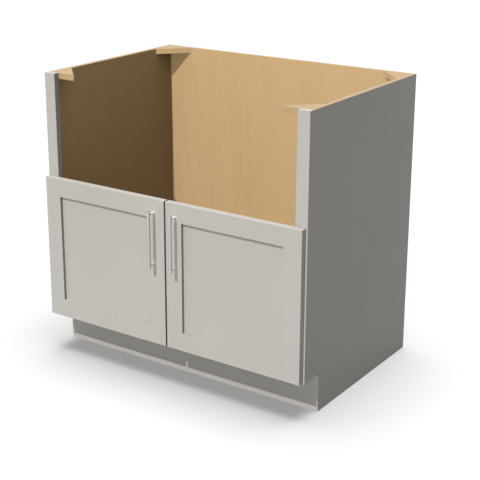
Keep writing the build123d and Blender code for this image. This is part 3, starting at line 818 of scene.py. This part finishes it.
def make_cup(height):
    """Pressed steel cup with a rounded bottom, a rim with two screw ears, and the lugs of its pin."""
    bottom, top = CUP_LOW.y, CUP_HIGH.y

    def turned_shape(start, end, radius, x=CUP_X, z=height, sides=64):
        """Round of the cup between two depths in the door."""
        return new_round("cup_shape", (x, start, z), (x, end, z), radius, "Y", sides)

    cup = turned_shape(bottom, top, CUP_RADIUS)
    choose(cup, "EDGE", lambda edge, points: all(p.y < bottom + NEAR for p in points))
    bpy.ops.mesh.bevel(offset=CUP_BOTTOM_ROUND, segments=3, affect="EDGES")
    bpy.ops.object.mode_set(mode="OBJECT")
    cut(cup, turned_shape(DOOR_BACK, top, CUP_RIM_RADIUS), "UNION")
    ears = new_block(
        "ears",
        (CUP_SCREW_X - CUP_EAR_RADIUS, DOOR_BACK, height - CUP_SCREW_REACH - CUP_EAR_RADIUS),
        (CUP_SCREW_X + CUP_EAR_RADIUS, top, height + CUP_SCREW_REACH + CUP_EAR_RADIUS),
    )
    choose(ears, "EDGE", lambda edge, points: abs(points[0].y - points[1].y) > NEAR)
    bpy.ops.mesh.bevel(offset=CUP_EAR_RADIUS * 0.98, segments=8, affect="EDGES")
    bpy.ops.object.mode_set(mode="OBJECT")
    cut(cup, ears, "UNION")
    cut(cup, turned_shape(bottom + CUP_WALL, top + MM, CUP_RADIUS - CUP_WALL))
    for side in (-1, 1):
        seat = height + side * CUP_SCREW_REACH
        cut(cup, turned_shape(DOOR_BACK - MM, top + MM, CUP_SCREW_HEAD + 0.1 * MM, CUP_SCREW_X, seat, 32))
    ease(cup, CUP_ARRIS)
    lugs = [make_lug(height, side) for side in (-1, 1)]
    return one_piece("cup", [cup] + lugs)


def make_lug(height, side):
    """Cheek that stands in the cup beside the link and holds one end of the pin."""
    near, far = sorted((height + side * CHEEK_GAP_HALF, height + side * PIN_HALF))
    low = (CUP_PIN[0] - EYE_RADIUS, CUP_LOW.y + CUP_WALL / 2, near)
    high = (CUP_PIN[0] + EYE_RADIUS, CUP_PIN[1] + EYE_RADIUS, far)
    lug = new_block("lug", low, high)

    def upper_corner(edge, points):
        """An upright edge on the far side of the pin."""
        return points[0].y > CUP_PIN[1] and abs(points[0].z - points[1].z) > NEAR

    choose(lug, "EDGE", upper_corner)
    bpy.ops.mesh.bevel(offset=EYE_RADIUS * 0.97, segments=8, affect="EDGES")
    bpy.ops.object.mode_set(mode="OBJECT")
    ease(lug, LUG_ARRIS)
    return lug


def make_pad(height):
    """Bumper pad with a rounded crown."""
    x = PAD_LOW.x + PAD_RADIUS
    pad = new_round("pad", (x, PAD_LOW.y, height), (x, PAD_HIGH.y, height), PAD_RADIUS, "Y", 40)
    choose(pad, "EDGE", lambda edge, points: all(p.y > PAD_HIGH.y - NEAR for p in points))
    bpy.ops.mesh.bevel(offset=PAD_CROWN, segments=5, affect="EDGES")
    bpy.ops.object.mode_set(mode="OBJECT")
    smooth(pad)
    return pad


# Boards that carry more than one finish, and corner blocks


def assign_finish(piece, slot, wanted):
    """Gives the chosen faces of a board the finish in one of its slots."""
    choose(piece, "FACE", wanted)
    piece.active_material_index = slot
    bpy.ops.object.material_slot_assign()
    bpy.ops.object.mode_set(mode="OBJECT")


def make_side_panel(side, way, maple):
    """Side painted outside, maple inside, banded along its top and raw ply on its other edges."""
    panel = whole_copy(f"side_panel_{side}", f"side_board_{side}")
    dress(panel, PLY_OF_SIDE, SIDE_PAINT, maple, TOP_BAND_SHADED)
    assign_finish(panel, 1, lambda face, points: face.normal.x * way > 0.9)
    assign_finish(panel, 2, lambda face, points: face.normal.x * way < -0.9)
    assign_finish(panel, 3, lambda face, points: face.normal.z > 0.9 and points[0].z > cad_high.z - MM)
    ease(panel, BOARD_ARRIS)
    settle(panel, f"side_panel_{side}")


def make_back_panel():
    """Back with its clear-finished face inside, its raw face to the wall and a band along its top."""
    panel = whole_copy("back_panel", "back_board")
    dress(panel, PLY_OF_BACK, MAPLE_BACK, RAW_BACK, TOP_BAND_SHADED)
    assign_finish(panel, 1, lambda face, points: face.normal.y < -0.9)
    assign_finish(panel, 2, lambda face, points: face.normal.y > 0.9)
    assign_finish(panel, 3, lambda face, points: face.normal.z > 0.9)
    ease(panel, BOARD_ARRIS)
    settle(panel, "back_panel")


def make_corner_block(node_name, way):
    """Three-cornered block with a countersunk hole; way is +1 at the front and -1 at the back."""
    low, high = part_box(node_name)
    block = new_block("block", low, high)
    choose(block, "FACE", lambda face, points: True)
    corner_y = low.y if way > 0 else high.y
    bpy.ops.mesh.bisect(
        plane_co=(low.x, corner_y, low.z),
        plane_no=Vector((-1, way, 0)).normalized(),
        use_fill=True,
        clear_outer=True,
    )
    bpy.ops.object.mode_set(mode="OBJECT")
    x, y = high.x - HOLE_FROM_CORNER, corner_y + way * HOLE_FROM_CORNER
    cut(block, new_round("hole", (x, y, low.z - MM), (x, y, high.z + MM), HOLE_RADIUS, "Z", 32))
    bpy.ops.object.select_all(action="DESELECT")
    bpy.ops.mesh.primitive_cone_add(
        vertices=32,
        radius1=COUNTERSINK_RADIUS,
        radius2=COUNTERSINK_TIP,
        depth=COUNTERSINK_DEPTH,
        location=(x, y, low.z + COUNTERSINK_DEPTH / 2 - 0.1 * MM),
    )
    cut(block, fixed("countersink"))
    ease(block, BLOCK_ARRIS)
    return block


# Fitting the pieces


def both_hands(right_piece, name, node_name, *finishes):
    """Fits a piece on the right and its mirror image on the left."""
    left_piece = other_hand(right_piece, f"{name}_left")
    right_piece.name = f"{name}_right"
    dress(right_piece, *finishes)
    dress(left_piece, *finishes)
    settle(right_piece, f"{node_name}_right")
    settle(left_piece, f"{node_name}_left")


def pair_in_height(make, heights, name):
    """A piece made at the first height and copied to the second, both kept as one."""
    first = make(heights[0])
    second = shifted_copy(first, "copy", (0, 0, heights[1] - heights[0]))
    return one_piece(name, [first, second])


both_hands(make_pull_bar(), "bar", "pull_bar", BRUSHED_NICKEL)

for make, heights, name, node_name, finish in (
    (make_pull_post, POST_HEIGHTS, "posts", "pull_posts", HIGHLIT_POST_NICKEL),
    (make_pull_screw, POST_HEIGHTS, "pull_screw", "pull_screws", ZINC_STEEL),
    (make_cup, HINGE_HEIGHTS, "cup", "hinge_cups", PLATED_STEEL),
    (make_cup_screws, HINGE_HEIGHTS, "cup_screw", "hinge_cup_screws", ZINC_STEEL),
    (make_arm_screws, HINGE_HEIGHTS, "arm_screw", "hinge_arm_screws", ZINC_STEEL),
    (make_arm_pin, HINGE_HEIGHTS, "arm_pin", "hinge_arm_pins", PLATED_STEEL),
    (make_cup_pin, HINGE_HEIGHTS, "cup_pin", "hinge_cup_pins", PLATED_STEEL),
):
    both_hands(pair_in_height(make, heights, name), name, node_name, finish)

for node_name, name in (("hinge_arms", "arm"), ("hinge_links", "link")):
    shape = whole_copy(f"{node_name}_right", name)
    ease(shape, ARM_ARRIS)
    both_hands(shape, name, node_name, PLATED_STEEL)

adjusting = pair_in_height(make_adjusting_screw, HINGE_HEIGHTS, "adjusting_screw")
for piece in (other_hand(adjusting, "adjusting_screw_left"), adjusting):
    dress(piece, ZINC_STEEL)
    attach(piece, "cabinet")
adjusting.name = "adjusting_screw_right"

both_hands(pair_in_height(make_pad, PAD_HEIGHTS, "bumper"), "bumper", "door_bumpers", BUMPER_RUBBER)

# Upright faces of the blocks take a tone set by their light: painted shade at the front, painted light at
# the back
for end, way, side_finish_toned_for_light in (("front", 1, FRONT_BLOCK_SIDES_SHADED), ("back", -1, BACK_BLOCK_SIDES_LIT)):
    block = make_corner_block(f"corner_block_{end}_right", way)
    block.name = f"block_{end}_right"
    dress(block, BLOCK_TOPS_SHADED, side_finish_toned_for_light)
    assign_finish(block, 1, lambda face, points: abs(face.normal.z) < 0.5)
    settle(other_hand(block, f"block_{end}_left"), f"corner_block_{end}_left")
    settle(block, f"corner_block_{end}_right")

make_side_panel("right", 1, MAPLE_SIDE_RIGHT)
make_side_panel("left", -1, MAPLE_SIDE_LEFT)
make_back_panel()

for node_name, node_object in NODES.items():
    base = node_name.removesuffix("_left").removesuffix("_right")
    if base == "floor_panel":
        dress(node_object, MAPLE_FLOOR)
    elif base.startswith("door"):
        dress(node_object, DOOR_PAINT)
    else:
        dress(node_object, FRAME_PAINT)


# Stage, lamps and camera

STAGE_SIZE = 60.0

# Lamps: their strength, and in degrees the width of the source and its place in the sky
KEY = {"strength": 2.15, "angle": 0.5, "elevation": 47.0, "side": -0.7}
FLOOR_LAMP = {"strength": 5.1, "angle": 44.0, "elevation": 93.0}
FRONT_FILL = {"strength": 0.90, "angle": 20.0, "elevation": 4.0}
OVERHEAD = {"strength": 1.55, "angle": 12.0, "elevation": 90.0}

# Fill from all round, and the floor's tone for the cabinet's light and for the eye
FILL_AT_HORIZON = 0.20
FILL_LESS_ON_RIGHT = 0.05
FILL_FROM_ABOVE = 0.24
FILL_COLOUR = (0.985, 1.0, 1.015, 1)
FLOOR_BOUNCE = (0.11, 0.11, 0.11, 1)
FLOOR_TONE = (0.41, 0.41, 0.41, 1)
FLOOR_LIFT = 0.26

CAMERA_PLACE = (1.9141, -2.7549, 1.5236)
CAMERA_AZIMUTH = 34.784
CAMERA_ELEVATION = 17.284
CAMERA_LENS = 86.73
CAMERA_SHIFT = (0.03095, -0.07626)


def seen_directly(tree):
    """1 for rays that should meet the white studio: from the camera, a gloss or a glass."""
    rays = node(tree, "LightPath").outputs
    gloss = sums(tree, "MAXIMUM", rays["Is Glossy Ray"], rays["Is Transmission Ray"])
    return sums(tree, "MAXIMUM", rays["Is Camera Ray"], gloss)


def make_world():
    """White studio to the eye, and a pale fill on the cabinet that is stronger from above."""
    world = bpy.data.worlds.new("studio")
    bpy.context.scene.world = world
    world.use_nodes = True
    tree = world.node_tree
    fill = tree.nodes["Background"]
    sky = tree.nodes.new("ShaderNodeTexCoord").outputs["Generated"]
    way = node(tree, "SeparateXYZ", values={0: sky}).outputs
    level = sums(tree, "MULTIPLY_ADD", way["X"], -FILL_LESS_ON_RIGHT, FILL_AT_HORIZON)
    level = sums(tree, "MULTIPLY_ADD", way["Z"], FILL_FROM_ABOVE, level)
    for_eye = seen_directly(tree)
    strength = node(tree, "Mix", data_type="FLOAT", values={0: for_eye, 2: level, 3: 1.0}).outputs[0]
    tree.links.new(strength, fill.inputs["Strength"])
    tree.links.new(blend_colour(tree, for_eye, FILL_COLOUR, (1, 1, 1, 1)), fill.inputs["Color"])


def make_floor():
    """Pale floor, white to the eye, that keeps the cabinet's shadow."""
    bpy.ops.mesh.primitive_plane_add(size=STAGE_SIZE)
    floor = bpy.context.object
    floor.name = "studio_floor"
    made = bpy.data.materials.new("studio_floor")
    made.use_nodes = True
    tree = made.node_tree
    shader = tree.nodes["Principled BSDF"]
    shader.inputs["Specular IOR Level"].default_value = 0.0
    shader.inputs["Roughness"].default_value = 1.0
    for_eye = seen_directly(tree)
    tone = blend_colour(tree, for_eye, FLOOR_BOUNCE, FLOOR_TONE)
    tree.links.new(tone, shader.inputs["Base Color"])
    shader.inputs["Emission Color"].default_value = (1, 1, 1, 1)
    tree.links.new(sums(tree, "MULTIPLY", for_eye, FLOOR_LIFT), shader.inputs["Emission Strength"])
    floor.data.materials.append(made)
    return floor


def make_sun(name, floor, link_state, strength, angle, elevation, side=0.0):
    """Far lamp towards the wall, that lights all but the floor (EXCLUDE) or the floor alone (INCLUDE)."""
    turn = (math.radians(90 - elevation), 0, math.radians(side))
    bpy.ops.object.light_add(type="SUN", rotation=turn)
    lamp = bpy.context.object
    lamp.name = name
    lamp.data.energy = strength
    lamp.data.angle = math.radians(angle)
    lit = bpy.data.collections.new(name + "_lights")
    lit.objects.link(floor)
    lit.collection_objects[0].light_linking.link_state = link_state
    lamp.light_linking.receiver_collection = lit
    return lamp


bpy.ops.object.select_all(action="DESELECT")
studio_floor = make_floor()
make_world()
make_sun("key_lamp", studio_floor, "EXCLUDE", **KEY)
make_sun("floor_lamp", studio_floor, "INCLUDE", **FLOOR_LAMP)
front_fill = make_sun("front_fill", studio_floor, "EXCLUDE", **FRONT_FILL)
front_fill.data.use_shadow = False
make_sun("overhead", studio_floor, "EXCLUDE", **OVERHEAD)

tilt = (math.radians(90 - CAMERA_ELEVATION), 0, math.radians(CAMERA_AZIMUTH))
bpy.ops.object.camera_add(location=CAMERA_PLACE, rotation=tilt)
camera = bpy.context.object
camera.data.lens = CAMERA_LENS
camera.data.sensor_width = 36.0
camera.data.shift_x, camera.data.shift_y = CAMERA_SHIFT
bpy.context.scene.camera = camera
bpy.context.scene.view_settings.view_transform = "Standard"
